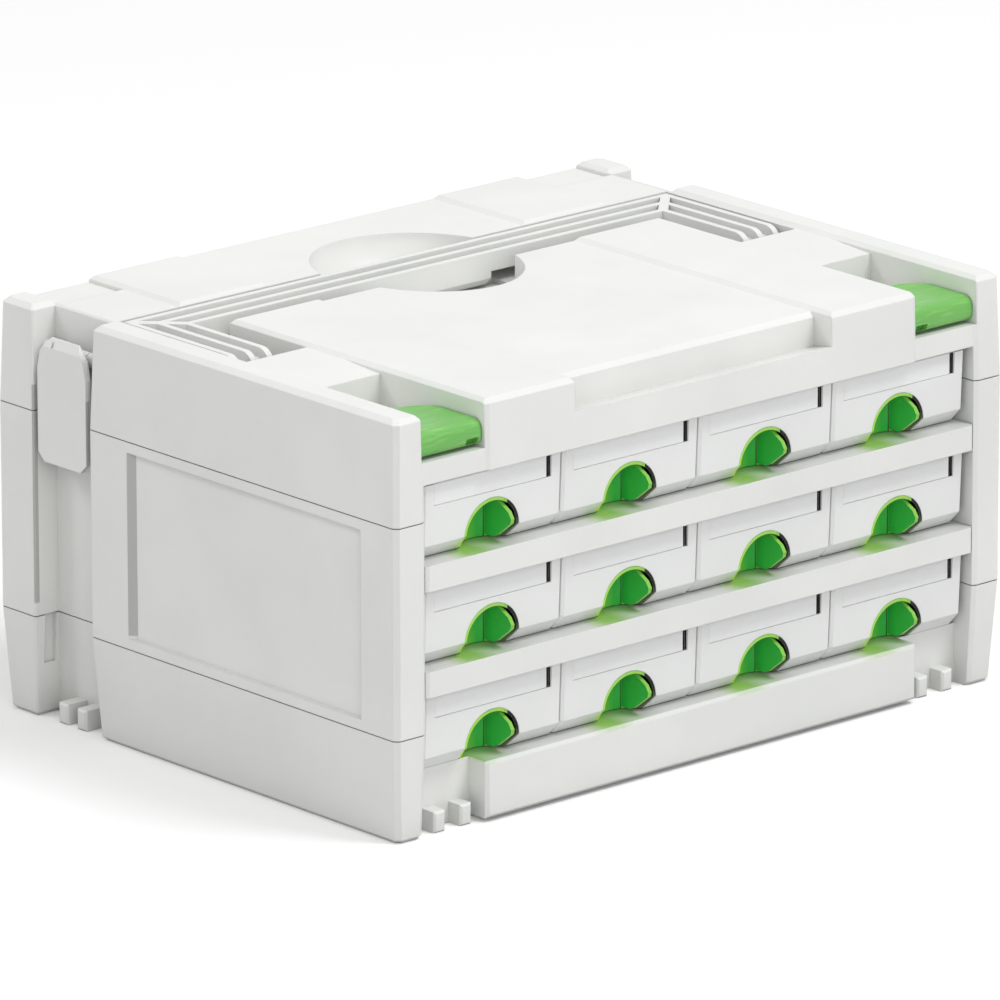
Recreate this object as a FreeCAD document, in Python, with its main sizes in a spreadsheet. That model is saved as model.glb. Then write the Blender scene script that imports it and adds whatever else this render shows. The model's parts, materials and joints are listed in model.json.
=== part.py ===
import FreeCAD, Part
import math
import operator
import os
import Sketcher

# Tool case with twelve small drawers. Millimetres, +Z up, front towards -Y.
# The origin is the middle of the footprint, on the surface the case stands on.

DRIVING_SIZES = {
    # whole case
    "case_depth": 296.0,
    "column_width": 19.0,
    "bay_side_gap": 2.5,
    "head_height": 22.0,
    "base_section_height": 52.5,
    "top_bay_height": 17.5,
    "seam_gap": 0.5,
    "corner_chamfer": 2.5,
    "base_draft": 3.0,
    "top_draft": 1.5,
    "top_edge_chamfer": 2.6,
    "bottom_edge_chamfer": 2.0,
    "shell_wall": 2.5,
    "bay_wall": 2.0,
    "back_wall": 5.0,
    # side channels and lugs
    "channel_width": 43.0,
    "channel_back_inset": 27.5,
    "channel_depth": 14.5,
    "channel_edge_chamfer": 0.8,
    "lug_width": 7.2,
    "lug_spacing": 16.6,
    "lug_height": 10.6,
    "front_lug_inset": 39.7,
    "front_lug_reach": 4.7,
    "side_lug_spacing": 14.0,
    "side_lug_reach": 4.7,
    "lug_chamfer": 1.0,
    "column_pocket_width": 7.0,
    "column_pocket_depth": 3.4,
    "column_pocket_height": 25.0,
    # inset panels on the middle section
    "panel_depth": 2.8,
    "panel_slope": 4.0,
    "side_panel_front_margin": 25.5,
    "side_panel_back_margin": 28.0,
    "panel_bottom_margin": 5.5,
    "rear_panel_side_margin": 38.0,
    "rear_panel_depth": 2.0,
    # base bar and underside
    "bar_end_inset": 57.0,
    "bar_bottom": 2.0,
    "bar_depth": 13.5,
    "bar_chamfer": 1.6,
    "floor_height": 30.5,
    "floor_thickness": 2.5,
    "foot_flange": 3.0,
    "rib_thickness": 2.0,
    "cross_rib_place": 49.0,
    "floor_rib_height": 6.0,
    # rows and shelves
    "row_pitch": 52.5,
    "row_opening": 39.5,
    "shelf_thickness": 2.5,
    "shelf_clearance": 0.5,
    "rail_thickness": 3.0,
    "rail_chamfer": 1.4,
    "guide_rib_width": 2.4,
    "guide_rib_height": 5.0,
    "ledge_reach": 3.0,
    "ledge_height": 3.0,
    # deck
    "deck_drop": 2.0,
    "deck_slope": 2.0,
    "rear_corner_drop": 3.7,
    "pad_inner": 85.5,
    "back_pad_gap": 4.4,
    "back_pad_back_inset": 4.0,
    "front_pad_gap": 14.0,
    "inset_half_width": 83.5,
    "inset_setback": 14.0,
    "inset_back_drop": 19.2,
    "inset_lip_rise": 2.8,
    "deck_skin": 3.0,
    # front lock pockets and locks
    "lock_inset": 37.6,
    "lock_width": 39.4,
    "lock_side_clearance": 0.5,
    "lock_top_drop": 10.0,
    "lock_thickness": 12.5,
    "lock_front_setback": 4.0,
    "lock_length": 41.0,
    "lock_back_radius": 23.0,
    "lock_front_round": 5.4,
    "lock_foot_round": 3.5,
    "lock_shoulder": 11.9,
    "lock_wall": 2.2,
    "lock_pivot_inset": 6.0,
    "lock_slot_inset": 1.8,
    "lock_slot_width": 7.6,
    "lock_slot_height": 3.3,
    "lock_slot_depth": 4.5,
    "lock_slot_lift": 0.7,
    "edge_panel_depth": 1.3,
    "edge_panel_slope": 2.3,
    "pocket_length": 77.0,
    "pocket_floor_drop": 24.0,
    "pocket_ramp_length": 26.0,
    "pocket_ramp_drop": 1.6,
    "pin_radius": 1.5,
    "pin_clearance": 0.08,
    "pin_seat": 3.0,
    # side latches
    "latch_inner_half": 10.3,
    "latch_shoulder_half": 16.1,
    "latch_half_width": 18.3,
    "latch_height": 63.0,
    "latch_shoulder_drop": 7.0,
    "latch_waist_drop": 16.0,
    "latch_thickness": 3.6,
    "latch_setback": 0.5,
    "latch_barrel_radius": 3.7,
    "latch_pivot_gap": 0.4,
    "latch_pivot_drop": 8.5,
    "latch_top_drop": 13.5,
    "latch_brow_height": 4.6,
    "latch_brow_lean": 2.6,
    "latch_corner": 4.5,
    "latch_slit_place": 7.4,
    "latch_slit_width": 1.5,
    "latch_hook_distance": 32.0,
    "latch_hook_height": 6.0,
    "latch_hook_reach": 4.0,
    "latch_housing_gap": 0.5,
    # carrying handle
    "handle_side_inset": 20.6,
    "handle_bar_width": 23.6,
    "handle_back_inset": 72.4,
    "handle_reach": 76.6,
    "handle_barrel_radius": 8.0,
    "handle_pin_radius": 2.0,
    "handle_thickness": 10.0,
    "handle_rib": 3.4,
    "handle_groove_depth": 5.5,
    "handle_web": 5.0,
    "handle_recess_clearance": 2.4,
    "handle_end_room": 16.0,
    "handle_floor_gap": 0.6,
    "grip_belly_depth": 7.4,
    "grip_belly_half_width": 43.0,
    "grip_belly_chamfer": 4.0,
    "finger_well_width": 104.0,
    "finger_well_length": 114.0,
    "finger_well_setback": 14.6,
    "finger_well_depth": 19.0,
    "finger_well_curve": 32.0,
    "thumb_well_width": 95.0,
    # drawers
    "drawer_pitch": 88.25,
    "drawer_gap": 0.9,
    "drawer_lift": 0.3,
    "drawer_top_gap": 1.6,
    "drawer_wall_drop": 2.6,
    "drawer_body_gap": 3.4,
    "drawer_wall": 1.8,
    "drawer_front_wall": 2.6,
    "drawer_face_setback": 4.6,
    "drawer_face_lean": 1.4,
    "drawer_bevel_height": 7.3,
    "drawer_bevel_depth": 7.0,
    "drawer_back_gap": 8.0,
    "drawer_edge_chamfer": 1.3,
    # grips
    "niche_radius": 17.3,
    "niche_height": 6.3,
    "niche_depth_center": 0.9,
    "grip_wall": 1.5,
    "grip_clearance": 0.1,
    "hump_wall": 1.8,
    "fin_offset": 8.0,
    "fin_thickness": 2.2,
    "fin_height": 20.0,
    "fin_toe_reach": 2.6,
    "fin_toe_rise": 1.2,
    "fin_nose_setback": 0.6,
    "fin_nose_height": 10.0,
    "fin_front_height": 12.4,
    "fin_brow_setback": 2.2,
    "fin_brow_height": 15.6,
    "fin_top_setback": 10.0,
    "fin_slope_setback": 16.0,
    "fin_slope_height": 18.2,
    "fin_root_setback": 21.5,
    "fin_root_height": 14.0,
    # labels
    "label_side_inset": 6.7,
    "label_height": 10.9,
    "label_recess": 1.3,
    "label_thickness": 0.5,
    "label_slit": 2.6,
    "label_slit_depth": 1.6,
    "label_margin": 0.3,
    # corner screws
    "screw_inset": 11.0,
    "boss_radius": 4.6,
    "screw_radius": 1.9,
    "screw_head_radius": 3.5,
    "screw_head_height": 2.6,
    "screw_head_level": 8.0,
    "screw_tip_gap": 6.0,
    "screw_bore_clearance": 0.05,
    "screw_head_clearance": 0.5,
}

ROWS = 3
COLUMNS = 4
SIDES = {"left": -1, "right": 1}
SHEET_NAME = "sizes"
OVERCUT = 1.0

doc = FreeCAD.newDocument("tool_case")
sheet = doc.addObject("Spreadsheet::Sheet", SHEET_NAME)


class Size:
    """A length that keeps its number together with the expression that gives it."""

    signs = {"+": operator.add, "-": operator.sub, "*": operator.mul, "/": operator.truediv}

    def __init__(self, value, text=None):
        self.value = value
        self.text = text or repr(float(value))

    @staticmethod
    def of(thing):
        return thing if isinstance(thing, Size) else Size(thing)

    @classmethod
    def join(cls, left, sign, right):
        left = cls.of(left)
        right = cls.of(right)
        value = cls.signs[sign](left.value, right.value)
        return cls(value, f"({left.text} {sign} {right.text})")

    def __add__(self, other):
        return Size.join(self, "+", other)

    def __radd__(self, other):
        return Size.join(other, "+", self)

    def __sub__(self, other):
        return Size.join(self, "-", other)

    def __rsub__(self, other):
        return Size.join(other, "-", self)

    def __mul__(self, other):
        return Size.join(self, "*", other)

    def __rmul__(self, other):
        return Size.join(other, "*", self)

    def __truediv__(self, other):
        return Size.join(self, "/", other)

    def __neg__(self):
        return Size.join(0, "-", self)


class Sizes:
    """Gives each driving size by its alias in the sheet."""

    def __getattr__(self, alias):
        return Size(DRIVING_SIZES[alias], f"{SHEET_NAME}.{alias}")


for row, (alias, number) in enumerate(DRIVING_SIZES.items(), start=1):
    sheet.set(f"A{row}", alias.replace("_", " "))
    sheet.set(f"B{row}", repr(number))
    sheet.setAlias(f"B{row}", alias)
doc.recompute()
s = Sizes()


def bind(thing, prop, size):
    thing.setExpression(prop, Size.of(size).text)


def place(thing, x=None, y=None, z=None):
    for axis, size in (("x", x), ("y", y), ("z", z)):
        if size is not None:
            bind(thing, f".Placement.Base.{axis}", size)
    return thing


# Solids


def box(name, x, y, z):
    """A block between two values along each axis."""
    thing = doc.addObject("Part::Box", name)
    bind(thing, "Length", x[1] - x[0])
    bind(thing, "Width", y[1] - y[0])
    bind(thing, "Height", z[1] - z[0])
    return place(thing, x[0], y[0], z[0])


def frustum(name, z, low, high):
    """A block whose four sides slope: low and high are (x0, x1, y0, y1) at the two z levels."""
    thing = doc.addObject("Part::Wedge", name)
    bind(thing, "Ymin", z[0])
    bind(thing, "Ymax", z[1])
    for prefix, (x0, x1, y0, y1) in (("", low), ("2", high)):
        bind(thing, f"X{prefix}min", x0)
        bind(thing, f"X{prefix}max", x1)
        bind(thing, f"Z{prefix}min", -Size.of(y1))
        bind(thing, f"Z{prefix}max", -Size.of(y0))
    thing.Placement = FreeCAD.Placement(FreeCAD.Vector(), FreeCAD.Rotation(FreeCAD.Vector(1, 0, 0), 90))
    return thing


ALONG = {
    "x": FreeCAD.Rotation(FreeCAD.Vector(1, 1, 1), 120),
    "y": FreeCAD.Rotation(FreeCAD.Vector(1, 0, 0), 90),
    "z": FreeCAD.Rotation(),
}
ROD = {
    "x": FreeCAD.Rotation(FreeCAD.Vector(0, 1, 0), 90),
    "y": FreeCAD.Rotation(FreeCAD.Vector(1, 0, 0), -90),
    "z": FreeCAD.Rotation(),
}


def rod(name, axis, radius, start, length):
    """A cylinder that runs from start in the positive direction of an axis."""
    thing = doc.addObject("Part::Cylinder", name)
    thing.Placement = FreeCAD.Placement(FreeCAD.Vector(), ROD[axis])
    bind(thing, "Radius", radius)
    bind(thing, "Height", length)
    return place(thing, *start)


def polygon(name, points):
    """A closed sketch whose corners are bound to the sheet."""
    sketch = doc.addObject("Sketcher::SketchObject", name)
    corners = [(Size.of(across), Size.of(up)) for across, up in points]
    vectors = [FreeCAD.Vector(across.value, up.value, 0) for across, up in corners]
    for index, vector in enumerate(vectors):
        following = vectors[(index + 1) % len(vectors)]
        sketch.addGeometry(Part.LineSegment(vector, following), False)
    for index, corner in enumerate(corners):
        following = (index + 1) % len(corners)
        sketch.addConstraint(Sketcher.Constraint("Coincident", index, 2, following, 1))
        for kind, size in zip(("DistanceX", "DistanceY"), corner):
            number = sketch.addConstraint(Sketcher.Constraint(kind, -1, 1, index, 1, size.value))
            sketch.setExpression(f"Constraints[{number}]", size.text)
    return sketch


def outline_at(name, axis, points, start):
    """A polygon that faces along an axis. Its corners are (y, z), (x, z) or (x, y) pairs."""
    sketch = polygon(name, points)
    sketch.Placement = FreeCAD.Placement(FreeCAD.Vector(), ALONG[axis])
    bind(sketch, f".Placement.Base.{axis}", start)
    return sketch


def prism(name, axis, points, start, length):
    """A polygon pushed along an axis from start."""
    sketch = outline_at(name + "_outline", axis, points, start)
    thing = doc.addObject("Part::Extrusion", name)
    thing.Base = sketch
    thing.DirMode = "Normal"
    thing.Solid = True
    thing.Reversed = axis == "y"
    bind(thing, "LengthFwd", length)
    return thing


def drafted(name, levels):
    """A solid through level outlines with as many corners each, as (z, corners) pairs."""
    thing = doc.addObject("Part::Loft", name)
    thing.Sections = [outline_at(f"{name}_level_{number}", "z", points, z)
                      for number, (z, points) in enumerate(levels, start=1)]
    thing.Ruled = True
    thing.Solid = True
    return thing


def union(name, parts):
    thing = doc.addObject("Part::MultiFuse", name)
    thing.Shapes = parts
    thing.Refine = True
    return thing


def cut(name, base, tools):
    thing = doc.addObject("Part::Cut", name)
    thing.Base = base
    thing.Tool = tools[0] if len(tools) == 1 else union(name + "_tools", tools)
    thing.Refine = True
    return thing


def common(name, first, second):
    thing = doc.addObject("Part::Common", name)
    thing.Base = first
    thing.Tool = second
    return thing


def edge_work(kind, name, base, size, wanted):
    """Chamfers or rounds the edges of base for which wanted(edge's box) is true."""
    doc.recompute()
    thing = doc.addObject(kind, name)
    thing.Base = base
    numbers = [n for n, edge in enumerate(base.Shape.Edges, start=1) if wanted(edge.BoundBox)]
    thing.Edges = [(n, size.value, size.value) for n in numbers]
    return thing


def chamfer(name, base, size, wanted):
    return edge_work("Part::Chamfer", name, base, size, wanted)


def fillet(name, base, size, wanted):
    return edge_work("Part::Fillet", name, base, size, wanted)


def near(number, size):
    return abs(number - Size.of(size).value) < 0.01


def mirrored(name, source):
    """The source's mirror image in the middle plane of the case."""
    thing = doc.addObject("Part::Mirroring", name)
    thing.Source = source
    thing.Normal = (1, 0, 0)
    return thing


def both_sides(tool):
    return [tool, mirrored(tool.Name + "_mirror", tool)]


def at_x(sign, low, high):
    """The range of x from low to high on the left (-1) or the right (1)."""
    return (sign * low, sign * high) if sign > 0 else (sign * high, sign * low)


# Levels and planes that several pieces share

bay_half = COLUMNS / 2 * s.drawer_pitch + s.bay_side_gap
half_width = bay_half + s.column_width
half_depth = s.case_depth / 2
front = -half_depth
bay_back = half_depth - s.back_wall
rail_height = s.row_pitch - s.row_opening
floor_levels = [s.floor_height + (ROWS - 1 - row) * s.row_pitch for row in range(ROWS)]
bay_top = floor_levels[0] + s.row_opening
case_height = floor_levels[0] + s.row_pitch + s.head_height
seam_low = s.base_section_height
seam_high = bay_top - s.top_bay_height
channel_face = half_width - s.channel_depth
channel_back = half_depth - s.channel_back_inset
channel_front = channel_back - s.channel_width
channel_middle = (channel_front + channel_back) / 2
deck = case_height - s.deck_drop
column_centers = [(column - (COLUMNS - 1) / 2) * s.drawer_pitch for column in range(COLUMNS)]
guide_centers = [(line - COLUMNS / 2) * s.drawer_pitch for line in range(COLUMNS + 1)]
cavity_inner = bay_half + s.bay_wall
handle_outer = half_width - s.handle_side_inset
handle_back = half_depth - s.handle_back_inset
handle_pivot_y = handle_back - s.handle_reach
well_center = handle_back - s.finger_well_setback
recess_half = handle_outer + s.handle_recess_clearance
recess_back = handle_back + s.handle_recess_clearance
recess_front = handle_back - s.handle_bar_width - s.front_pad_gap
lock_center = half_width - s.lock_inset
lock_top = case_height - s.lock_top_drop
lock_bottom = lock_top - s.lock_thickness
lock_front = front + s.lock_front_setback
lock_pivot_y = lock_front + s.lock_pivot_inset
lock_pivot_z = lock_top - s.lock_pivot_inset
pocket_inner = lock_center - s.lock_width / 2 - s.lock_side_clearance
pad_outer = pocket_inner - s.deck_slope
pocket_outer = lock_center + s.lock_width / 2 + s.lock_side_clearance
pocket_back = front + s.pocket_length
pocket_floor = case_height - s.pocket_floor_drop
latch_outer = half_width - s.latch_setback
latch_top = case_height - s.latch_top_drop
latch_pivot_x = channel_face + s.latch_barrel_radius + s.latch_pivot_gap
latch_pivot_z = latch_top - s.latch_pivot_drop
handle_top = deck
handle_pivot_z = handle_top - s.handle_barrel_radius
recess_floor = handle_pivot_z - s.handle_barrel_radius - s.handle_floor_gap
drawer_height = s.row_opening - s.drawer_lift - s.drawer_top_gap
label_bottom = drawer_height - s.label_height
label_half = (s.drawer_pitch - s.drawer_gap) / 2 - s.label_side_inset
drawer_face = front + s.drawer_face_setback
bevel_top_y = drawer_face + s.drawer_face_lean
bevel_foot_y = bevel_top_y + s.drawer_bevel_depth
drawer_foot_back = bevel_foot_y + s.drawer_front_wall


pieces = []


def piece(thing, name):
    """Names a finished sub-part."""
    thing.Label = name
    pieces.append(thing)
    return thing


def side_boxes(name, x, y, z):
    """The same block on the left and on the right."""
    return [box(f"{name}_{side}", at_x(sign, *x), y, z) for side, sign in SIDES.items()]


def around(center, width):
    return (center - width / 2, center + width / 2)


def plan_outline(inset=0):
    """The plan of a section, with chamfered corners and a channel in each side."""
    edge = s.corner_chamfer
    lip = s.channel_edge_chamfer
    side = half_width - inset
    end = half_depth - inset
    channel_start = channel_front - inset
    channel_end = channel_back + inset
    bed = channel_face - inset
    right = [
        (side - edge, -end),
        (side, -end + edge),
        (side, channel_start - lip),
        (side - lip, channel_start),
        (bed, channel_start),
        (bed, channel_end),
        (side - lip, channel_end),
        (side, channel_end + lip),
        (side, end - edge),
        (side - edge, end),
    ]
    left = [(-x, y) for x, y in reversed(right)]
    return right + left


def edge_panels(name, insets):
    """Shallow panels across both lock fronts, which also ease the inner edges of the columns."""
    levels = []
    for z, inset in insets:
        face = front + inset
        bed = face + s.edge_panel_depth
        levels.append((z, [
            (pocket_inner - s.edge_panel_slope, face - OVERCUT),
            (pocket_inner - s.edge_panel_slope, face),
            (pocket_inner, bed),
            (bay_half, bed),
            (bay_half + s.edge_panel_slope, face),
            (bay_half + s.edge_panel_slope, face - OVERCUT),
        ]))
    return both_sides(drafted(name, levels))


def column_cavities(section, outer, inset, z):
    """The hollows in the front and rear columns of a section."""
    wall = inset + s.shell_wall
    front_y = (front + wall, channel_front - wall)
    rear_y = (channel_back + wall, half_depth - wall)
    return (side_boxes(f"{section}_front_cavity", (cavity_inner, outer), front_y, z)
            + side_boxes(f"{section}_rear_cavity", (cavity_inner, outer), rear_y, z))


def screw_places():
    x = half_width - s.screw_inset
    y = half_depth - s.screw_inset
    return [(x_sign * x, y_sign * y) for x_sign in (-1, 1) for y_sign in (-1, 1)]


def screw_bosses(section, outer, low, high):
    """Tubes for the long screws, each held by a web across its column."""
    bosses = []
    for number, (x, y) in enumerate(screw_places(), start=1):
        web_x = at_x(1 if x.value > 0 else -1, cavity_inner - OVERCUT, outer + OVERCUT)
        web = box(f"{section}_web_{number}", web_x, around(y, s.rib_thickness), (low, high))
        tube = rod(f"{section}_boss_{number}", "z", s.boss_radius, (x, y, low), high - low)
        bosses += [web, tube]
    return bosses


def screw_bores(section, radius, low, high):
    return [rod(f"{section}_bore_{number}", "z", radius, (x, y, low), high - low)
            for number, (x, y) in enumerate(screw_places(), start=1)]


screw_bore = s.screw_radius + s.screw_bore_clearance
screw_seat = s.screw_head_level + s.screw_head_height
screw_tip = pocket_floor - s.screw_tip_gap


# Base frame

bar_back = front + s.bar_depth
floor_bottom = s.floor_height - s.floor_thickness
base_top = seam_low - s.seam_gap / 2


def guide_ribs(shelf, level):
    """Low ribs that keep the drawers of a row apart."""
    rib_y = (drawer_foot_back + OVERCUT, bay_back - s.drawer_back_gap)
    rib_z = (level - s.floor_thickness, level + s.guide_rib_height)
    return [box(f"{shelf}_guide_{number}", around(x, s.guide_rib_width), rib_y, rib_z)
            for number, x in enumerate(guide_centers, start=1)]


def base_lugs():
    """The coupling lugs at the foot: a pair under each front lock and each side latch."""
    lugs = []
    for side, sign in SIDES.items():
        for number, offset in enumerate((-s.lug_spacing / 2, s.lug_spacing / 2), start=1):
            x = around(sign * (half_width - s.front_lug_inset + offset), s.lug_width)
            block = box(f"front_lug_{side}_{number}", x,
                        (front + s.front_lug_reach, bar_back + OVERCUT), (Size(0), s.lug_height))
            lugs.append(chamfer(block.Name + "_edged", block, s.lug_chamfer,
                                lambda edge: near(edge.YMax, front + s.front_lug_reach)))
        for number, offset in enumerate((-s.side_lug_spacing / 2, s.side_lug_spacing / 2), start=1):
            tip = half_width - s.side_lug_reach
            x = at_x(sign, bay_half - s.ledge_reach, tip)
            block = box(f"side_lug_{side}_{number}", x,
                        around(channel_middle + offset, s.lug_width), (Size(0), s.lug_height))
            tip_x = sign * tip.value
            lugs.append(chamfer(block.Name + "_edged", block, s.lug_chamfer,
                                lambda edge, tip_x=tip_x: near(edge.XMin, tip_x) and near(edge.XMax, tip_x)))
    return lugs


def make_base_frame():
    insets = [
        (Size(0), s.base_draft + s.bottom_edge_chamfer),
        (s.bottom_edge_chamfer, s.base_draft),
        (base_top, Size(0)),
    ]
    outer = drafted("base_outer", [(z, plan_outline(inset)) for z, inset in insets])
    cavity_outer = half_width - s.base_draft - s.shell_wall
    under_x = bay_half - s.shell_wall
    under_y = (bar_back + s.shell_wall, half_depth - s.base_draft - s.shell_wall)
    high = seam_low + OVERCUT
    tools = [
        box("base_bay", (-bay_half, bay_half), (front - OVERCUT, bay_back), (s.floor_height, high)),
        box("base_recess", (-bay_half, bay_half), (front - OVERCUT, bar_back),
            (Size(-OVERCUT), s.floor_height)),
        box("base_underside", (-under_x, under_x), under_y, (Size(-OVERCUT), floor_bottom)),
    ]
    tools += edge_panels("base_edge_panel", insets)
    tools += column_cavities("base", cavity_outer, s.base_draft, (s.foot_flange, high))
    pocket_x = around((channel_face + half_width - s.latch_thickness) / 2 - s.rib_thickness / 2,
                      s.column_pocket_width)
    tools += side_boxes("base_column_pocket", pocket_x,
                        (channel_back - OVERCUT, channel_back + s.column_pocket_depth),
                        (base_top - s.column_pocket_height, high))
    hollowed = cut("base_hollowed", outer, tools)
    bar_half = half_width - s.bar_end_inset
    bar_block = box("base_bar_block", (-bar_half, bar_half),
                    (front, bar_back), (s.bar_bottom, s.floor_height))
    bar_edged = chamfer("base_bar_edged", bar_block, s.bar_chamfer,
                        lambda edge: near(edge.YMin, front) and near(edge.YMax, front))
    bar_inner = bar_half - s.shell_wall
    bar = cut("base_bar", bar_edged, [
        box("base_bar_hollow", (-bar_inner, bar_inner), (front + s.shell_wall, bar_back),
            (Size(-OVERCUT), floor_bottom))])
    rib_z = (floor_bottom - s.floor_rib_height, floor_bottom + OVERCUT)
    ribs = [box(f"base_rib_{number}", around(x, s.rib_thickness),
                (under_y[0] - OVERCUT, under_y[1] + OVERCUT), rib_z)
            for number, x in enumerate(guide_centers[1:-1], start=1)]
    for number, y in enumerate((-s.cross_rib_place, s.cross_rib_place), start=1):
        ribs.append(box(f"base_cross_rib_{number}", (-under_x - OVERCUT, under_x + OVERCUT),
                        around(y, s.rib_thickness), rib_z))
    solid = union("base_solid", [hollowed, bar] + ribs + base_lugs()
                  + guide_ribs("base", s.floor_height)
                  + screw_bosses("base", cavity_outer, screw_seat, seam_low))
    access = screw_bores("base_access", s.screw_head_radius + s.screw_head_clearance,
                         Size(-OVERCUT), screw_seat)
    shanks = screw_bores("base", screw_bore, screw_seat - OVERCUT, high)
    return piece(cut("base_frame", solid, access + shanks), "base_frame")


# Middle frame


def make_middle_frame():
    low = seam_low + s.seam_gap / 2
    high = seam_high - s.seam_gap / 2
    through = (seam_low - OVERCUT, seam_high + OVERCUT)
    outer = prism("middle_outer", "z", plan_outline(), low, high - low)
    cavity_outer = half_width - s.panel_depth - s.shell_wall
    panel_z = (seam_low + s.panel_bottom_margin, seam_high - s.panel_bottom_margin)
    panel_bed = half_width - s.panel_depth
    panel_front = front + s.side_panel_front_margin
    panel_back = channel_front - s.side_panel_back_margin
    rear_panel_half = half_width - s.rear_panel_side_margin
    panel = [
        (panel_bed, panel_front),
        (half_width + OVERCUT, panel_front),
        (half_width + OVERCUT, panel_back),
        (half_width, panel_back),
        (panel_bed, panel_back - s.panel_slope),
    ]
    right_panel = prism("middle_panel", "z", panel, panel_z[0], panel_z[1] - panel_z[0])
    tools = both_sides(right_panel) + [
        box("middle_bay", (-bay_half, bay_half), (front - OVERCUT, bay_back), through),
        box("middle_rear_panel", (-rear_panel_half, rear_panel_half),
            (half_depth - s.rear_panel_depth, half_depth + OVERCUT), panel_z),
    ]
    tools += edge_panels("middle_edge_panel", [(low, Size(0)), (high, Size(0))])
    tools += column_cavities("middle", cavity_outer, Size(0), through)
    hollowed = cut("middle_hollowed", outer, tools)
    added = screw_bosses("middle", cavity_outer, seam_low, seam_high)
    for row, level in enumerate(floor_levels[:-1], start=1):
        shelf_bottom = level - s.shelf_thickness
        added += side_boxes(f"middle_ledge_{row}", (bay_half - s.ledge_reach, bay_half + OVERCUT),
                            (drawer_foot_back, bay_back + OVERCUT),
                            (shelf_bottom - s.ledge_height, shelf_bottom))
    solid = union("middle_solid", [hollowed] + added)
    return piece(cut("middle_frame", solid, screw_bores("middle", screw_bore, *through)), "middle_frame")


# Shelves with their front rails


def make_shelf(name, level):
    half = bay_half - s.shelf_clearance
    plate = box(f"{name}_plate", (-half, half),
                (front + s.rail_thickness / 2, bay_back - s.shelf_clearance),
                (level - s.shelf_thickness, level))
    rail_block = box(f"{name}_rail_block", (-half, half), (front, front + s.rail_thickness),
                     (level - rail_height, level))
    rail = chamfer(f"{name}_rail", rail_block, s.rail_chamfer,
                   lambda edge: near(edge.YMax, front) and near(edge.XMin, edge.XMax))
    return piece(union(name, [plate, rail] + guide_ribs(name, level)), name)


# Top cover


def make_deck_tool():
    """What is cleared above the deck, leaving the rims and the four raised pads."""
    slope = s.deck_slope
    rim = pocket_outer + slope
    past = half_depth + OVERCUT
    above = frustum("deck_clear", (deck, case_height),
                    (-pocket_outer, pocket_outer, -past, past), (-rim, rim, -past, past))
    pads = []
    for side, sign in SIDES.items():
        for name, y0, y1 in (("front_pad", -past, recess_front),
                             ("back_pad", handle_back + s.back_pad_gap, half_depth - s.back_pad_back_inset)):
            x0, x1 = at_x(sign, s.pad_inner, pad_outer)
            pads.append(frustum(f"{name}_{side}", (deck, case_height),
                                (x0 - slope, x1 + slope, y0 - slope, y1 + slope), (x0, x1, y0, y1)))
    return cut("deck_tool", above, pads)


def make_top_cover():
    start = seam_high + s.seam_gap / 2
    above = case_height + OVERCUT
    insets = [
        (start, Size(0)),
        (case_height - s.top_edge_chamfer, s.top_draft),
        (case_height, s.top_draft + s.top_edge_chamfer),
    ]
    outer = drafted("top_outer", [(z, plan_outline(inset)) for z, inset in insets])
    below = start - OVERCUT
    cavity_outer = half_width - s.top_draft - s.shell_wall
    tools = [
        make_deck_tool(),
        box("top_bay", (-bay_half, bay_half), (front - OVERCUT, bay_back), (below, bay_top)),
        box("grip_recess", (-recess_half, recess_half),
            (recess_front + s.deck_slope, recess_back), (recess_floor, above)),
    ]
    tools += edge_panels("top_edge_panel", insets)
    tools += column_cavities("top", cavity_outer, s.top_draft, (below, pocket_floor))
    tools += side_boxes("arm_recess", (pocket_inner, recess_half),
                        (handle_pivot_y - s.handle_end_room, recess_back), (recess_floor, above))
    tools += side_boxes("lock_pocket", (pocket_inner, pocket_outer),
                        (front - OVERCUT, pocket_back), (pocket_floor, above))
    tools += side_boxes("rear_corner", (pocket_inner, pocket_outer),
                        (channel_back, half_depth + OVERCUT),
                        (case_height - s.rear_corner_drop, above))
    ramp = [
        (pocket_back - OVERCUT, deck - s.pocket_ramp_drop),
        (pocket_back + s.pocket_ramp_length, deck),
        (pocket_back + s.pocket_ramp_length, above),
        (pocket_back - OVERCUT, above),
    ]
    tools += both_sides(prism("pocket_ramp", "x", ramp, pocket_inner, pocket_outer - pocket_inner))
    inset_back = front + s.inset_setback
    inset_floor = case_height - s.inset_back_drop
    inset = [
        (front - OVERCUT, inset_floor + s.inset_lip_rise),
        (inset_back, inset_floor),
        (inset_back, deck - s.top_edge_chamfer),
        (inset_back + s.top_edge_chamfer, deck),
        (inset_back + s.top_edge_chamfer, above),
        (front - OVERCUT, above),
    ]
    tools.append(prism("front_inset", "x", inset, -s.inset_half_width, 2 * s.inset_half_width))
    tools += finger_wells(above)
    tools += under_deck_cavities(inset_back, inset_floor)
    hollowed = cut("top_hollowed", outer, tools)
    bosses = screw_bosses("top", cavity_outer, seam_high, pocket_floor)
    solid = union("top_solid", [hollowed] + bosses + latch_housings())
    bores = screw_bores("top", screw_bore, below, screw_tip + OVERCUT)
    bores += lock_pins("lock_bore", s.pin_clearance)
    bores += latch_pins("latch_bore", s.pin_clearance)
    bores += handle_pins("handle_bore", s.pin_clearance)
    return piece(cut("top_cover", solid, bores), "top_cover")


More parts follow.
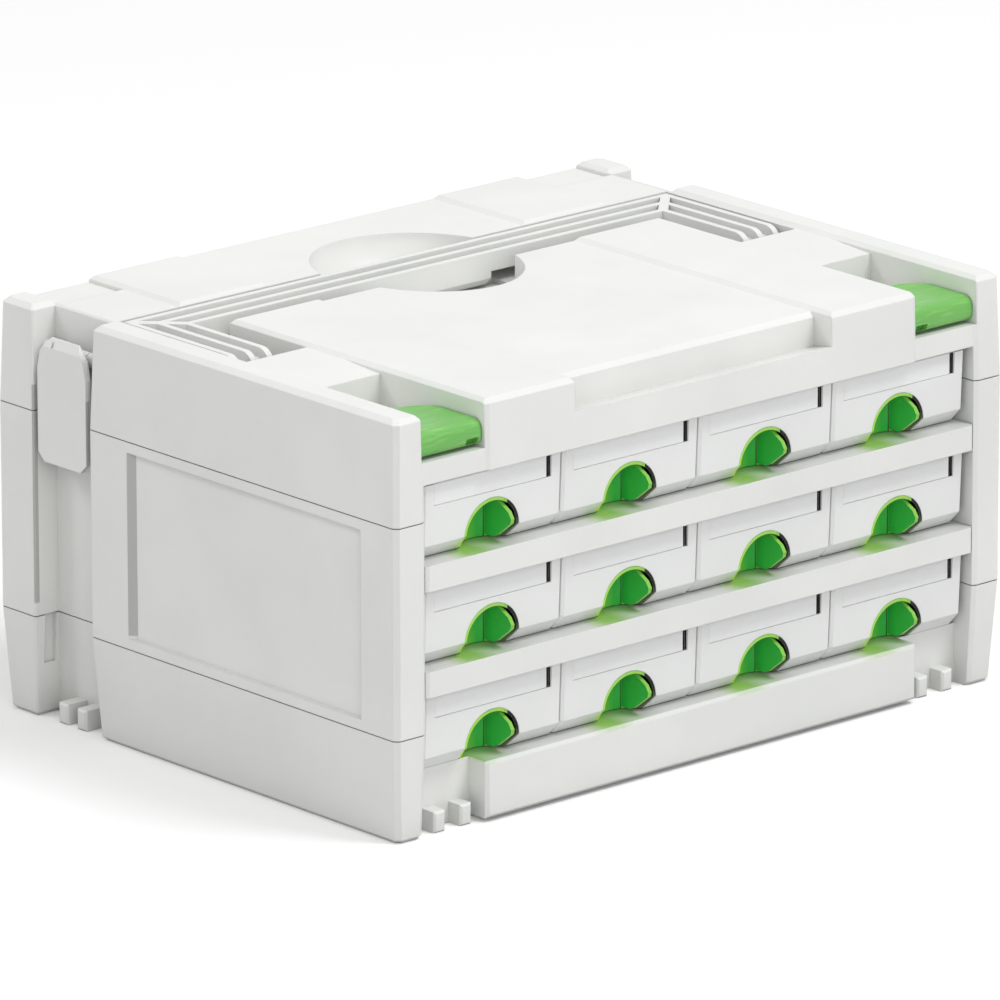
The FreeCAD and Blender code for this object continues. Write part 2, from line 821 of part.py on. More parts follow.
def finger_wells(above):
    """The bowl behind the grip and the steeper scoop in front of it, with one flat floor."""
    floor = deck - s.finger_well_depth
    center = well_center
    bowl = doc.addObject("Part::Ellipsoid", "finger_well_bowl")
    bind(bowl, "Radius1", s.finger_well_curve)
    bind(bowl, "Radius2", s.finger_well_width / 2)
    bind(bowl, "Radius3", s.finger_well_length / 2)
    place(bowl, Size(0), center, deck)
    half = s.finger_well_width / 2
    rear = common("finger_well", bowl, box("finger_well_span", (-half, half),
                                           (center, center + s.finger_well_length / 2), (floor, above)))
    rim = doc.addObject("Part::Ellipse", "thumb_well_rim")
    bind(rim, "MajorRadius", s.finger_well_length / 2)
    bind(rim, "MinorRadius", s.thumb_well_width / 2)
    rim.Placement = FreeCAD.Placement(FreeCAD.Vector(), FreeCAD.Rotation(FreeCAD.Vector(0, 0, 1), 90))
    place(rim, Size(0), center, floor)
    scoop = doc.addObject("Part::Extrusion", "thumb_well_scoop")
    scoop.Base = rim
    scoop.DirMode = "Normal"
    scoop.Solid = True
    bind(scoop, "LengthFwd", above - floor)
    front_half = common("thumb_well", scoop, box("thumb_well_span", (-half, half),
                                                 (center - s.finger_well_length / 2 - OVERCUT, center),
                                                 (floor, above)))
    return [rear, front_half]


def latch_housings():
    """The round-nosed blocks that carry the ends of each side latch's pin."""
    housings = []
    radius = s.latch_barrel_radius
    neck = s.latch_inner_half + s.latch_housing_gap
    for side, sign in SIDES.items():
        for name, y in (("front", (channel_front - OVERCUT, channel_middle - neck)),
                        ("rear", (channel_middle + neck, channel_back + OVERCUT))):
            nose = rod(f"housing_nose_{side}_{name}", "y", radius,
                       (sign * latch_pivot_x, y[0], latch_pivot_z), y[1] - y[0])
            block = box(f"housing_block_{side}_{name}", at_x(sign, channel_face - OVERCUT, latch_pivot_x),
                        y, (latch_pivot_z - radius, latch_pivot_z + radius))
            housings += [nose, block]
    return housings


def under_deck_cavities(inset_back, inset_floor):
    """Hollows that leave an even skin under the deck, its pads and its recesses."""
    skin = s.deck_skin
    block_half = pocket_inner - 2 * skin
    well_half = s.finger_well_width / 2 + skin
    low = bay_top - OVERCUT
    rear = half_depth - s.back_wall - skin
    under_recess = recess_floor - skin
    deep = channel_face - skin
    front_y = (inset_back + skin, well_center - s.finger_well_length / 2 - skin)
    hollows = [
        box("hollow_front", (-block_half, block_half), front_y, (low, deck - skin)),
        box("hollow_lip", (-block_half, block_half),
            (front + s.top_draft + skin, inset_back + skin + OVERCUT), (low, inset_floor - skin)),
    ]
    hollows += side_boxes("hollow_side", (well_half, deep), (pocket_back + skin, rear),
                          (low, under_recess))
    hollows += side_boxes("hollow_back", (well_half, pad_outer - skin),
                          (recess_back + skin, rear), (low, deck - skin))
    return hollows


# Pins


def lock_pins(name, extra=0):
    length = pocket_outer - pocket_inner + 2 * s.pin_seat
    return [rod(f"{name}_{side}", "x", s.pin_radius + extra,
                (at_x(sign, pocket_inner - s.pin_seat, pocket_outer + s.pin_seat)[0],
                 lock_pivot_y, lock_pivot_z), length)
            for side, sign in SIDES.items()]


def latch_pins(name, extra=0):
    return [rod(f"{name}_{side}", "y", s.pin_radius + extra,
                (sign * latch_pivot_x, channel_front - s.pin_seat, latch_pivot_z),
                channel_back - channel_front + 2 * s.pin_seat)
            for side, sign in SIDES.items()]


def handle_pins(name, extra=0):
    low = handle_outer - s.handle_bar_width
    high = recess_half + s.pin_seat
    return [rod(f"{name}_{side}", "x", s.handle_pin_radius + extra,
                (at_x(sign, low, high)[0], handle_pivot_y, handle_pivot_z), high - low)
            for side, sign in SIDES.items()]


def group(name, things):
    thing = doc.addObject("Part::Compound", name)
    thing.Links = things
    return piece(thing, name)


# Front locks


def make_lock(side, sign):
    name = f"{side}_lock"
    x = around(sign * lock_center, s.lock_width)
    back = lock_front + s.lock_length + OVERCUT
    block = box(f"{name}_block", x, (lock_front, back), (lock_bottom, lock_top))
    top_round = fillet(f"{name}_top_round", block, s.lock_front_round,
                       lambda edge: near(edge.YMax, lock_front) and near(edge.ZMin, lock_top))
    foot_round = fillet(f"{name}_foot_round", top_round, s.lock_foot_round,
                        lambda edge: near(edge.YMax, lock_front) and near(edge.ZMax, lock_bottom))
    disc_y = lock_front + s.lock_length - s.lock_back_radius
    disc = rod(f"{name}_disc", "z", s.lock_back_radius,
               (sign * lock_center, disc_y, lock_bottom - OVERCUT), s.lock_thickness + 2 * OVERCUT)
    shoulder = box(f"{name}_shoulder", (x[0] - OVERCUT, x[1] + OVERCUT),
                   (lock_front - OVERCUT, disc_y + s.lock_shoulder),
                   (lock_bottom - OVERCUT, lock_top + OVERCUT))
    tongue = common(f"{name}_tongue", foot_round, union(f"{name}_plan", [disc, shoulder]))
    inner = (x[0] + s.lock_wall, x[1] - s.lock_wall)
    hollow_y = (lock_pivot_y + s.lock_pivot_inset, disc_y + s.lock_shoulder)
    hollow = box(f"{name}_hollow", inner, hollow_y, (lock_bottom - OVERCUT, lock_top - s.lock_wall))
    bore = rod(f"{name}_bore", "x", s.pin_radius + s.pin_clearance,
               (x[0] - OVERCUT, lock_pivot_y, lock_pivot_z), s.lock_width + 2 * OVERCUT)
    slot_start = lock_center - s.lock_width / 2 + s.lock_slot_inset
    slot_z = lock_bottom + s.lock_slot_lift
    slot = box(f"{name}_slot", at_x(sign, slot_start, slot_start + s.lock_slot_width),
               (lock_front - OVERCUT, lock_front + s.lock_slot_depth),
               (slot_z, slot_z + s.lock_slot_height))
    return piece(cut(name, tongue, [hollow, bore, slot]), name)


# Side latches


def make_side_latch(side, sign):
    name = f"{side}_side_latch"
    half = s.latch_half_width
    neck = s.latch_inner_half
    shoulder = s.latch_shoulder_half
    foot = latch_top - s.latch_height
    corner = s.latch_corner
    shoulder_z = latch_top - s.latch_shoulder_drop
    waist_z = latch_top - s.latch_waist_drop
    rear_side = [
        (channel_middle + neck, latch_top),
        (channel_middle + shoulder, shoulder_z),
        (channel_middle + half, waist_z),
        (channel_middle + half, foot + corner),
        (channel_middle + half - corner, foot),
    ]
    front_side = [(2 * channel_middle - y, z) for y, z in reversed(rear_side)]
    inner = latch_outer - s.latch_thickness
    plate_x = at_x(sign, inner, latch_outer)
    flat = prism(f"{name}_flat", "x", rear_side + front_side, plate_x[0], s.latch_thickness)
    brow_z = latch_top - s.latch_brow_height
    brow = [
        (sign * inner, foot - OVERCUT),
        (sign * latch_outer, foot - OVERCUT),
        (sign * latch_outer, brow_z),
        (sign * (latch_outer - s.latch_brow_lean), latch_top),
        (sign * inner, latch_top),
    ]
    profile = prism(f"{name}_profile", "y", brow, channel_middle - half - OVERCUT,
                    2 * half + 2 * OVERCUT)
    plate = common(f"{name}_plate", flat, profile)
    barrel = rod(f"{name}_barrel", "y", s.latch_barrel_radius,
                 (sign * latch_pivot_x, channel_middle - neck, latch_pivot_z), 2 * neck)
    arm = box(f"{name}_arm", at_x(sign, latch_pivot_x, inner + s.latch_thickness / 2),
              around(channel_middle, 2 * neck),
              (latch_pivot_z - s.latch_barrel_radius, latch_pivot_z + s.latch_barrel_radius / 2))
    hook_top = latch_pivot_z - s.latch_hook_distance
    hook = box(f"{name}_hook",
               at_x(sign, inner - s.latch_hook_reach, inner + s.latch_thickness / 2),
               around(channel_middle, 2 * neck), (hook_top - s.latch_hook_height, hook_top))
    solid = union(f"{name}_solid", [plate, barrel, arm, hook])
    bore = rod(f"{name}_bore", "y", s.pin_radius + s.pin_clearance,
               (sign * latch_pivot_x, channel_middle - half, latch_pivot_z), 2 * half)
    slit = box(f"{name}_slit", at_x(sign, inner + s.latch_thickness / 2, latch_outer + OVERCUT),
               around(channel_middle + s.latch_slit_place, s.latch_slit_width), (brow_z, latch_top + OVERCUT))
    return piece(cut(name, solid, [bore, slit]), name)


# Carrying handle


def make_handle():
    outer = handle_outer
    inner = outer - s.handle_bar_width
    back = handle_back
    inner_back = back - s.handle_bar_width
    pivot_y = handle_pivot_y
    bail = [
        (-outer, pivot_y), (-outer, back), (outer, back), (outer, pivot_y),
        (inner, pivot_y), (inner, inner_back), (-inner, inner_back), (-inner, pivot_y),
    ]
    parts = [prism("handle_bail", "z", bail, handle_top - s.handle_thickness, s.handle_thickness)]
    for side, sign in SIDES.items():
        parts.append(rod(f"handle_barrel_{side}", "x", s.handle_barrel_radius,
                         (at_x(sign, inner, outer)[0], pivot_y, handle_pivot_z), s.handle_bar_width))
    belly_bottom = handle_top - s.handle_thickness - s.grip_belly_depth
    belly = box("handle_belly", (-s.grip_belly_half_width, s.grip_belly_half_width), (inner_back, back),
                (belly_bottom, handle_top - s.handle_thickness / 2))
    parts.append(chamfer("handle_belly_edged", belly, s.grip_belly_chamfer,
                         lambda edge: near(edge.ZMax, belly_bottom)
                         or near(abs(edge.XMax), s.grip_belly_half_width) and edge.YLength < 1
                         and near(edge.XMin, edge.XMax)))
    groove = (s.handle_bar_width - 3 * s.handle_rib) / 2
    floor = handle_top - s.handle_groove_depth
    depth = s.handle_groove_depth + OVERCUT
    diagonal = outer - back
    web = s.handle_web * math.sqrt(2) / 2
    grooves = []
    for number in range(2):
        near_side = s.handle_rib + number * (groove + s.handle_rib)
        far_side = near_side + groove
        low, high = back - far_side, back - near_side
        run = [
            (-(low + diagonal - web), low), (low + diagonal - web, low),
            (high + diagonal - web, high), (-(high + diagonal - web), high),
        ]
        grooves.append(prism(f"handle_grip_groove_{number}", "z", run, floor, depth))
        x0, x1 = outer - far_side, outer - near_side
        run = [
            (x0, pivot_y), (x1, pivot_y),
            (x1, x1 - diagonal - web), (x0, x0 - diagonal - web),
        ]
        grooves += both_sides(prism(f"handle_arm_groove_{number}", "z", run, floor, depth))
        for side, sign in SIDES.items():
            start = at_x(sign, x0, x1)[0]
            name = f"handle_end_{side}_{number}"
            ring = cut(f"{name}_ring",
                       rod(f"{name}_outer", "x", s.handle_barrel_radius + OVERCUT,
                           (start, pivot_y, handle_pivot_z), groove),
                       [rod(f"{name}_core", "x", s.handle_barrel_radius - s.handle_groove_depth + OVERCUT,
                            (start, pivot_y, handle_pivot_z), groove)])
            reach = s.handle_barrel_radius + 2 * OVERCUT
            grooves.append(common(name, ring, box(f"{name}_half", at_x(sign, x0, x1),
                                                  (pivot_y - reach, pivot_y),
                                                  (handle_pivot_z - reach, handle_pivot_z + reach))))
    ribbed = cut("handle_ribbed", union("handle_solid", parts), grooves)
    bores = handle_pins("handle_eye", s.pin_clearance)
    return piece(cut("carry_handle", ribbed, bores), "carry_handle")


# Drawers, grips and labels, each modelled once about x = 0 and z = 0


def face_outline(back_offset, height, lift=0):
    """The slanted face and the bevel under it, moved back by an offset."""
    return [
        (drawer_face + back_offset, Size.of(height)),
        (bevel_top_y + back_offset, s.drawer_bevel_height + lift),
        (bevel_foot_y + back_offset, Size.of(lift)),
    ]


def niche(name, radius, low, high):
    """An upright cylinder under a round arch."""
    center_y = bevel_top_y - s.niche_depth_center
    span = 2 * s.niche_radius
    drum = rod(f"{name}_drum", "z", radius, (Size(0), center_y, low), high - low)
    vault = rod(f"{name}_vault", "y", radius, (Size(0), center_y - span, s.niche_height), 2 * span)
    stem = box(f"{name}_stem", (-radius, radius), (center_y - span, center_y + span),
               (low, s.niche_height))
    return common(name, drum, union(f"{name}_arch", [vault, stem]))


def make_drawer_pattern():
    face_half = (s.drawer_pitch - s.drawer_gap) / 2
    body_half = (s.drawer_pitch - s.drawer_body_gap) / 2
    inner_half = body_half - s.drawer_wall
    height = drawer_height
    back = bay_back - s.drawer_back_gap
    face_ring = face_outline(0, height) + list(reversed(face_outline(s.drawer_front_wall, height)))
    face_block = prism("drawer_face_block", "x", face_ring, -face_half, 2 * face_half)
    face = chamfer("drawer_face", face_block, s.drawer_edge_chamfer,
                   lambda edge: edge.YMax < bevel_foot_y.value + 0.01 and near(edge.XMin, edge.XMax)
                   and edge.ZLength > s.drawer_edge_chamfer.value * 2
                   and (near(edge.YMin, drawer_face) or near(edge.YMin, bevel_top_y)))
    wall = s.drawer_front_wall / 2
    tub_outline = face_outline(wall, drawer_height - s.drawer_wall_drop) + [
        (back, Size(0)), (back, drawer_height - s.drawer_wall_drop)]
    tub_block = prism("drawer_tub_block", "x", tub_outline, -body_half, 2 * body_half)
    inside = face_outline(s.drawer_front_wall, height + OVERCUT, s.drawer_wall) + [
        (back - s.drawer_wall, s.drawer_wall), (back - s.drawer_wall, height + OVERCUT)]
    tub_space = prism("drawer_tub_space", "x", inside, -inner_half, 2 * inner_half)
    tub = cut("drawer_tub", tub_block, [tub_space])
    seat = s.niche_radius + s.grip_clearance
    hump_top = s.niche_height + seat + s.hump_wall
    hump_all = niche("drawer_hump_all", seat + s.hump_wall, Size(0), hump_top)
    hump = common("drawer_hump", hump_all,
                  prism("drawer_hump_span", "x", face_outline(wall, height)
                        + [(back, Size(0)), (back, height)], -body_half, 2 * body_half))
    solid = union("drawer_solid", [face, tub, hump])
    recess_y = drawer_face + s.label_recess
    slit_x = label_half - s.label_slit
    tools = [
        niche("drawer_niche", seat, Size(-OVERCUT), s.niche_height + seat + OVERCUT),
        box("label_recess", (-label_half, label_half),
            (drawer_face - OVERCUT, recess_y), (label_bottom, height + OVERCUT)),
        box("label_slit", (slit_x, label_half),
            (drawer_face - OVERCUT, recess_y + s.label_slit_depth - s.label_recess + OVERCUT),
            (label_bottom, height - s.label_margin)),
    ]
    return cut("drawer_pattern", solid, tools)


def make_grip_pattern():
    height = s.niche_height + s.niche_radius + OVERCUT
    outer = niche("grip_outer", s.niche_radius, s.grip_clearance, height)
    inner = niche("grip_inner", s.niche_radius - s.grip_wall, Size(-OVERCUT), height)
    shell = cut("grip_shell", outer, [inner])
    far = bevel_foot_y + 2 * s.niche_radius
    span = 2 * s.niche_radius
    trim_outline = face_outline(s.label_margin, height, s.grip_clearance) + [
        (far, s.grip_clearance), (far, height)]
    trim = prism("grip_trim", "x", trim_outline, -span, 2 * span)
    lining = common("grip_lining", shell, trim)
    foot = s.grip_clearance + OVERCUT
    fin_outline = [
        (bevel_foot_y, foot),
        (bevel_foot_y - s.fin_toe_reach, foot + s.fin_toe_rise),
        (front + s.fin_nose_setback, s.fin_nose_height),
        (front, s.fin_front_height),
        (front + s.fin_brow_setback, s.fin_brow_height),
        (front + s.fin_top_setback, s.fin_height),
        (front + s.fin_slope_setback, s.fin_slope_height),
        (front + s.fin_root_setback, s.fin_root_height),
        (front + s.fin_root_setback, foot),
    ]
    fin_plate = prism("grip_fin_plate", "x", fin_outline, s.fin_offset - s.fin_thickness / 2,
                      s.fin_thickness)
    ahead = box("grip_ahead", (-span, span), (front - OVERCUT, bevel_top_y - s.niche_depth_center),
                (Size(0), height))
    fin_limit = union("grip_fin_limit", [
        niche("grip_fin_niche", s.niche_radius - s.grip_wall / 2, s.grip_clearance, height), ahead])
    fin = common("grip_fin", fin_plate, fin_limit)
    return union("grip_pattern", [lining, fin])


def make_label_pattern():
    back = drawer_face + s.label_recess
    margin = s.label_margin
    return box("label_pattern",
               (-label_half + margin, label_half - s.label_slit - margin),
               (back - s.label_thickness, back),
               (label_bottom + margin, drawer_height - margin))


def make_drawers():
    patterns = {"drawer": make_drawer_pattern(), "grip": make_grip_pattern(),
                "label": make_label_pattern()}
    for row, level in enumerate(floor_levels, start=1):
        for column, center in enumerate(column_centers, start=1):
            for kind, pattern in patterns.items():
                copy = group(f"{kind}_{row}_{column}", [pattern])
                place(copy, center, None, level + s.drawer_lift)


# Long screws


def make_screws():
    screws = []
    for number, (x, y) in enumerate(screw_places(), start=1):
        head = rod(f"screw_head_{number}", "z", s.screw_head_radius, (x, y, s.screw_head_level),
                   s.screw_head_height)
        shank = rod(f"screw_shank_{number}", "z", s.screw_radius, (x, y, s.screw_head_level),
                    screw_tip - s.screw_head_level)
        screws.append(union(f"screw_{number}", [head, shank]))
    group("case_screws", screws)


make_base_frame()
make_middle_frame()
make_shelf("upper_shelf", floor_levels[0])
make_shelf("lower_shelf", floor_levels[1])
make_top_cover()
for side_name, side_sign in SIDES.items():
    make_lock(side_name, side_sign)
    make_side_latch(side_name, side_sign)
group("lock_pins", lock_pins("lock_pin"))
group("side_latch_pins", latch_pins("latch_pin"))
make_handle()
group("handle_pivots", handle_pins("handle_pivot"))
make_drawers()
make_screws()
doc.recompute()

for thing in doc.Objects:
    if {"Invalid", "Error"} & set(thing.State):
        raise RuntimeError(f"{thing.Label} failed: {thing.State}")
for sub_part in pieces:
    if sub_part.Shape.isNull() or not sub_part.Shape.isValid():
        raise RuntimeError(f"{sub_part.Label} has no valid shape")

os.makedirs("parts", exist_ok=True)
for sub_part in pieces:
    sub_part.Shape.exportStep(f"parts/{sub_part.Label}.step")
print(len(pieces), "sub-parts written")
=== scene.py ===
import json
import math

import bpy
from mathutils import Matrix, Vector


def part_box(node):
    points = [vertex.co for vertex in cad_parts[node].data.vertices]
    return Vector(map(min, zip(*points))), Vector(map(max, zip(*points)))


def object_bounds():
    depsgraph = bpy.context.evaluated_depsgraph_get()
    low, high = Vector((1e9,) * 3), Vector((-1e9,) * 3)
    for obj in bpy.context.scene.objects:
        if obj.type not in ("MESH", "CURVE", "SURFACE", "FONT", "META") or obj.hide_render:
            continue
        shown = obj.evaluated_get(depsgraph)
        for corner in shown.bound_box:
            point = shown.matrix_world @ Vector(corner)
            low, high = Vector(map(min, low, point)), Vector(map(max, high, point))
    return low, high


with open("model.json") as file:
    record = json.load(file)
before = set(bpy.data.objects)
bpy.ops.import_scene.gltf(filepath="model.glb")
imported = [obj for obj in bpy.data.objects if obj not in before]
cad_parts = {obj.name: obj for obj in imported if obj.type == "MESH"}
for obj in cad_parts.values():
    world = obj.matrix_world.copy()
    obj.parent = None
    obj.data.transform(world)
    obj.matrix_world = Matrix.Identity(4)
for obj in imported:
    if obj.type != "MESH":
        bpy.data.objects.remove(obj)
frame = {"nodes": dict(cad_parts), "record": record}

CAD_BOX = [list(corner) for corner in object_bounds()]
NODES = frame["nodes"]
MM = 0.001


def middle(node):
    """The middle of a node's box."""
    low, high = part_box(node)
    return (Vector(low) + Vector(high)) / 2


# The drawers stand at even steps, so one material can find its place in any of them.
# Places across it (LEFT, RIGHT) are measured from its middle and heights (TOP, BOTTOM) from its foot.
# Depths (Y) are in the case's own frame.
FIRST_DRAWER_X = middle("drawer_1_1").x
DRAWER_STEP = middle("drawer_1_2").x - FIRST_DRAWER_X
DRAWER_FACE_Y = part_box("drawer_1_1")[0][1]
LOWEST_DRAWER_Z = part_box("drawer_3_1")[0][2]
ROW_STEP = middle("drawer_1_1").z - middle("drawer_2_1").z
ROW_FOOT = 2 * MM  # a row's place starts this far below its drawers
GRIP_BACK_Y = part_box("grip_1_1")[1][1]
LABEL_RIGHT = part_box("label_1_1")[1][0] - FIRST_DRAWER_X
LABEL_BACK_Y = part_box("label_1_1")[1][1]
LABEL_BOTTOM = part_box("label_3_1")[0][2] - LOWEST_DRAWER_Z


# Node trees


def srgb(red, green, blue):
    """A linear colour from 0 to 255 display values."""
    def linear(value):
        value = value / 255
        return value / 12.92 if value <= 0.04045 else ((value + 0.055) / 1.055) ** 2.4
    return (linear(red), linear(green), linear(blue), 1.0)


class Tree:
    """Short calls for building a node tree."""

    def __init__(self, tree):
        self.tree = tree

    def connect(self, value, socket):
        """Link an output to a socket, or set the socket to a plain value."""
        if isinstance(value, bpy.types.NodeSocket):
            self.tree.links.new(value, socket)
        else:
            socket.default_value = value

    def add(self, kind, inputs=None, **settings):
        node = self.tree.nodes.new(kind)
        for key, value in settings.items():
            setattr(node, key, value)
        for key, value in (inputs or {}).items():
            self.connect(value, node.inputs[key])
        return node

    def ramp(self, factor, low, high, start=0.0, end=1.0):
        """A number that goes from low to high as factor goes from start to end."""
        return self.add("ShaderNodeMapRange", {
            "Value": factor, "From Min": start, "From Max": end, "To Min": low, "To Max": high,
        }).outputs["Result"]

    def rise(self, factor, start, end):
        return self.ramp(factor, 0.0, 1.0, start, end)

    def fall(self, factor, start, end):
        return self.ramp(factor, 1.0, 0.0, start, end)

    def span(self, value, low, high, blend):
        """1 between low and high, fading to 0 over blend at both ends."""
        return self.product(self.rise(value, low - blend, low), self.fall(value, high, high + blend))

    def calc(self, operation, first, second=0.0):
        return self.add("ShaderNodeMath", {0: first, 1: second}, operation=operation).outputs["Value"]

    def product(self, first, *others):
        for other in others:
            first = self.calc("MULTIPLY", first, other)
        return first

    def mix(self, factor, first, second):
        return self.add("ShaderNodeMix", {0: factor, 6: first, 7: second}, data_type="RGBA").outputs[2]

    def parts(self, vector):
        return self.add("ShaderNodeSeparateXYZ", {"Vector": vector}).outputs

    def seen_directly(self):
        """1 for rays that show a surface itself: to the camera, in gloss and through glass."""
        path = self.add("ShaderNodeLightPath").outputs
        direct = path["Is Camera Ray"]
        for name in ("Is Glossy Ray", "Is Transmission Ray"):
            direct = self.calc("MAXIMUM", direct, path[name])
        return direct


class Surface(Tree):
    """One material. Its textures run in object space, in metres, so a grain keeps its real size."""

    def __init__(self, name):
        self.material = bpy.data.materials.new(name)
        self.material.use_nodes = True
        super().__init__(self.material.node_tree)
        self.shader = self.tree.nodes["Principled BSDF"]
        self.place = self.add("ShaderNodeTexCoord").outputs["Object"]

    def noise(self, size, detail=2.0, roughness=0.5, stretch=(1, 1, 1)):
        """A noise whose features are about size metres across, longer where stretch is above 1."""
        place = self.place
        if stretch != (1, 1, 1):
            place = self.add("ShaderNodeVectorMath", {0: place, 1: [1 / length for length in stretch]},
                             operation="MULTIPLY").outputs["Vector"]
        return self.add("ShaderNodeTexNoise", {
            "Vector": place, "Scale": 1 / size, "Detail": detail, "Roughness": roughness,
        }).outputs["Fac"]

    def rounded(self, radius, samples=4):
        """Normals that turn smoothly over edges, as a moulded edge does."""
        return self.add("ShaderNodeBevel", {"Radius": radius}, samples=samples).outputs["Normal"]

    def flat_normal(self):
        return self.add("ShaderNodeNewGeometry").outputs["True Normal"]

    def edges(self, soft):
        """How far the rounded normal leaves the flat one: 0 on faces, more along edges."""
        same = self.add("ShaderNodeVectorMath", {0: soft, 1: self.flat_normal()},
                        operation="DOT_PRODUCT")
        return self.calc("SUBTRACT", 1.0, same.outputs["Value"])

    def bump(self, height, distance, strength, normal=None):
        inputs = {"Height": height, "Distance": distance, "Strength": strength}
        if normal is not None:
            inputs["Normal"] = normal
        return self.add("ShaderNodeBump", inputs).outputs["Normal"]

    def openness(self, reach, samples=6):
        """How open the surface is within reach: 1 on a bare face, towards 0 in a seam."""
        return self.add("ShaderNodeAmbientOcclusion", {"Distance": reach},
                        samples=samples).outputs["AO"]

    def painted_shade(self, base, shade, most, reach, closed, open_from):
        """Painted shade: the base colour, going over to most of the shade colour where less and less is
        open within reach.
        """
        return self.mix(self.ramp(self.openness(reach), most, 0.0, closed, open_from), base, shade)

    def drawer_place(self):
        """X from the middle of the nearest drawer, y, and z above the foot of its row."""
        x, y, z = (self.parts(self.place)[name] for name in "XYZ")
        steps = self.calc("DIVIDE", self.calc("SUBTRACT", x, FIRST_DRAWER_X - DRAWER_STEP / 2),
                          DRAWER_STEP)
        across = self.product(self.calc("SUBTRACT", self.calc("FRACT", steps), 0.5), DRAWER_STEP)
        rows = self.calc("DIVIDE", self.calc("SUBTRACT", z, LOWEST_DRAWER_Z - ROW_FOOT), ROW_STEP)
        height = self.calc("SUBTRACT", self.product(self.calc("FRACT", rows), ROW_STEP), ROW_FOOT)
        return across, y, height

    def finish(self, **sockets):
        for key, value in sockets.items():
            self.connect(value, self.shader.inputs[key.replace("_", " ")])
        return self.material


# Moulded plastic

EDGE_TURN = (0.02, 0.3)  # how far the normal turns where wear and the painted highlight start, and where they are full
WEAR_AND_HIGHLIGHT_PATCH = 18 * MM
WEAR_AND_HIGHLIGHT_LEAST = 0.35
WEAR_AND_HIGHLIGHT_COLOUR = 0.8
WEAR_POLISH = -0.12
# Painted shade where little is open within reach: dark and narrow in seams, mild and broad in nooks.
SEAM_SHADE = {"reach": 1.6 * MM, "closed": 0.06, "open_from": 0.28}
SEAM_SHADE_MOST = 0.9
NOOK_SHADE = {"reach": 24 * MM, "closed": 0.15, "open_from": 0.75}
NOOK_SHADE_MOST = 0.45
SMEAR_SIZE = 26 * MM
SMEAR_SPREAD = 0.06
GRAIN_STRENGTH = 0.55
SPECK_MOST = 0.22
PLASTIC_IOR = 1.5


def plastic(n, base, worn_and_highlight, seam, grain, grain_height, rough, edge_radius, nook=None, **extra):
    """Injection-moulded plastic: a fine eroded grain, rubbed edges that also carry a painted highlight,
    and painted shade in nooks and seams.
    """
    soft = n.rounded(edge_radius)
    # Rubbed edges with a painted highlight: the edges go over to a near-white colour.
    patches = n.ramp(n.noise(WEAR_AND_HIGHLIGHT_PATCH, 4.0, 0.6), WEAR_AND_HIGHLIGHT_LEAST, 1.0, 0.42, 0.68)
    wear_and_highlight = n.product(n.rise(n.edges(soft), *EDGE_TURN), patches)
    base = n.mix(n.product(wear_and_highlight, WEAR_AND_HIGHLIGHT_COLOUR), base, worn_and_highlight)
    # Painted shade in nooks, then in seams.
    if nook:
        base = n.painted_shade(base, nook, NOOK_SHADE_MOST, **NOOK_SHADE)
    base = n.painted_shade(base, seam, SEAM_SHADE_MOST, **SEAM_SHADE)
    smear = n.ramp(n.noise(SMEAR_SIZE, 5.0, 0.6), rough - SMEAR_SPREAD, rough + SMEAR_SPREAD, 0.3, 0.7)
    roughness = n.calc("ADD", smear, n.product(wear_and_highlight, WEAR_POLISH))
    normal = n.bump(n.noise(grain, 3.0, 0.65), grain_height, GRAIN_STRENGTH, soft)
    return n.finish(Base_Color=base, Roughness=roughness, Normal=normal, IOR=PLASTIC_IOR, **extra)


def drifting(n, colour, shade):
    """A colour with the slow drift and the faint specks of a moulded part."""
    base = n.mix(n.rise(n.noise(60 * MM, 3.0), 0.35, 0.65), colour, shade)
    return n.mix(n.ramp(n.noise(0.9 * MM, 2.0), 0.0, SPECK_MOST, 0.5, 0.75), base, shade)


# The slope at the rear end of the inset panel in each side, which is painted darker as painted shade.
PANEL_OUTER = CAD_BOX[1][0] - 0.02 * MM
PANEL_DEPTH = 2.8 * MM
PANEL_LOW = 60 * MM
PANEL_HIGH = 170 * MM
PANEL_SLOPE_Y = (-0.45, -0.3)  # y of the slope's normal, which faces the front
PANEL_REAR_Y = (-10 * MM, 0.0)


def panel_end_shade(n):
    x, y, z = (n.parts(n.place)[name] for name in "XYZ")
    return n.product(n.span(n.calc("ABSOLUTE", x), PANEL_OUTER - PANEL_DEPTH, PANEL_OUTER, 0.01 * MM),
                     n.span(z, PANEL_LOW, PANEL_HIGH, 1 * MM),
                     n.fall(n.parts(n.flat_normal())["Y"], *PANEL_SLOPE_Y),
                     n.rise(y, *PANEL_REAR_Y))


# Painted green bounce light that each grip would throw on the ledge under it: a strong core and a
# weaker skirt. Front and back are measured from the drawers' faces, where the painted light goes from
# its least to its most.
GREEN_BOUNCE_CORE = {"left": -18 * MM, "right": -9 * MM, "blend": 10 * MM,
             "front": -3 * MM, "back": 4 * MM, "least": 0.7, "most": 1.0}
GREEN_BOUNCE_SKIRT = {"left": -18 * MM, "right": 6 * MM, "blend": 5 * MM,
              "front": 0.0, "back": 8 * MM, "least": 0.1, "most": 0.75}
LEDGE_TOP = 0.2 * MM
LEDGE_SHADE = 0.8


def bounce_patch(n, across, y, left, right, blend, front, back, least, most):
    return n.product(n.span(across, left, right, blend),
                     n.ramp(y, least, most, DRAWER_FACE_Y + front, DRAWER_FACE_Y + back))


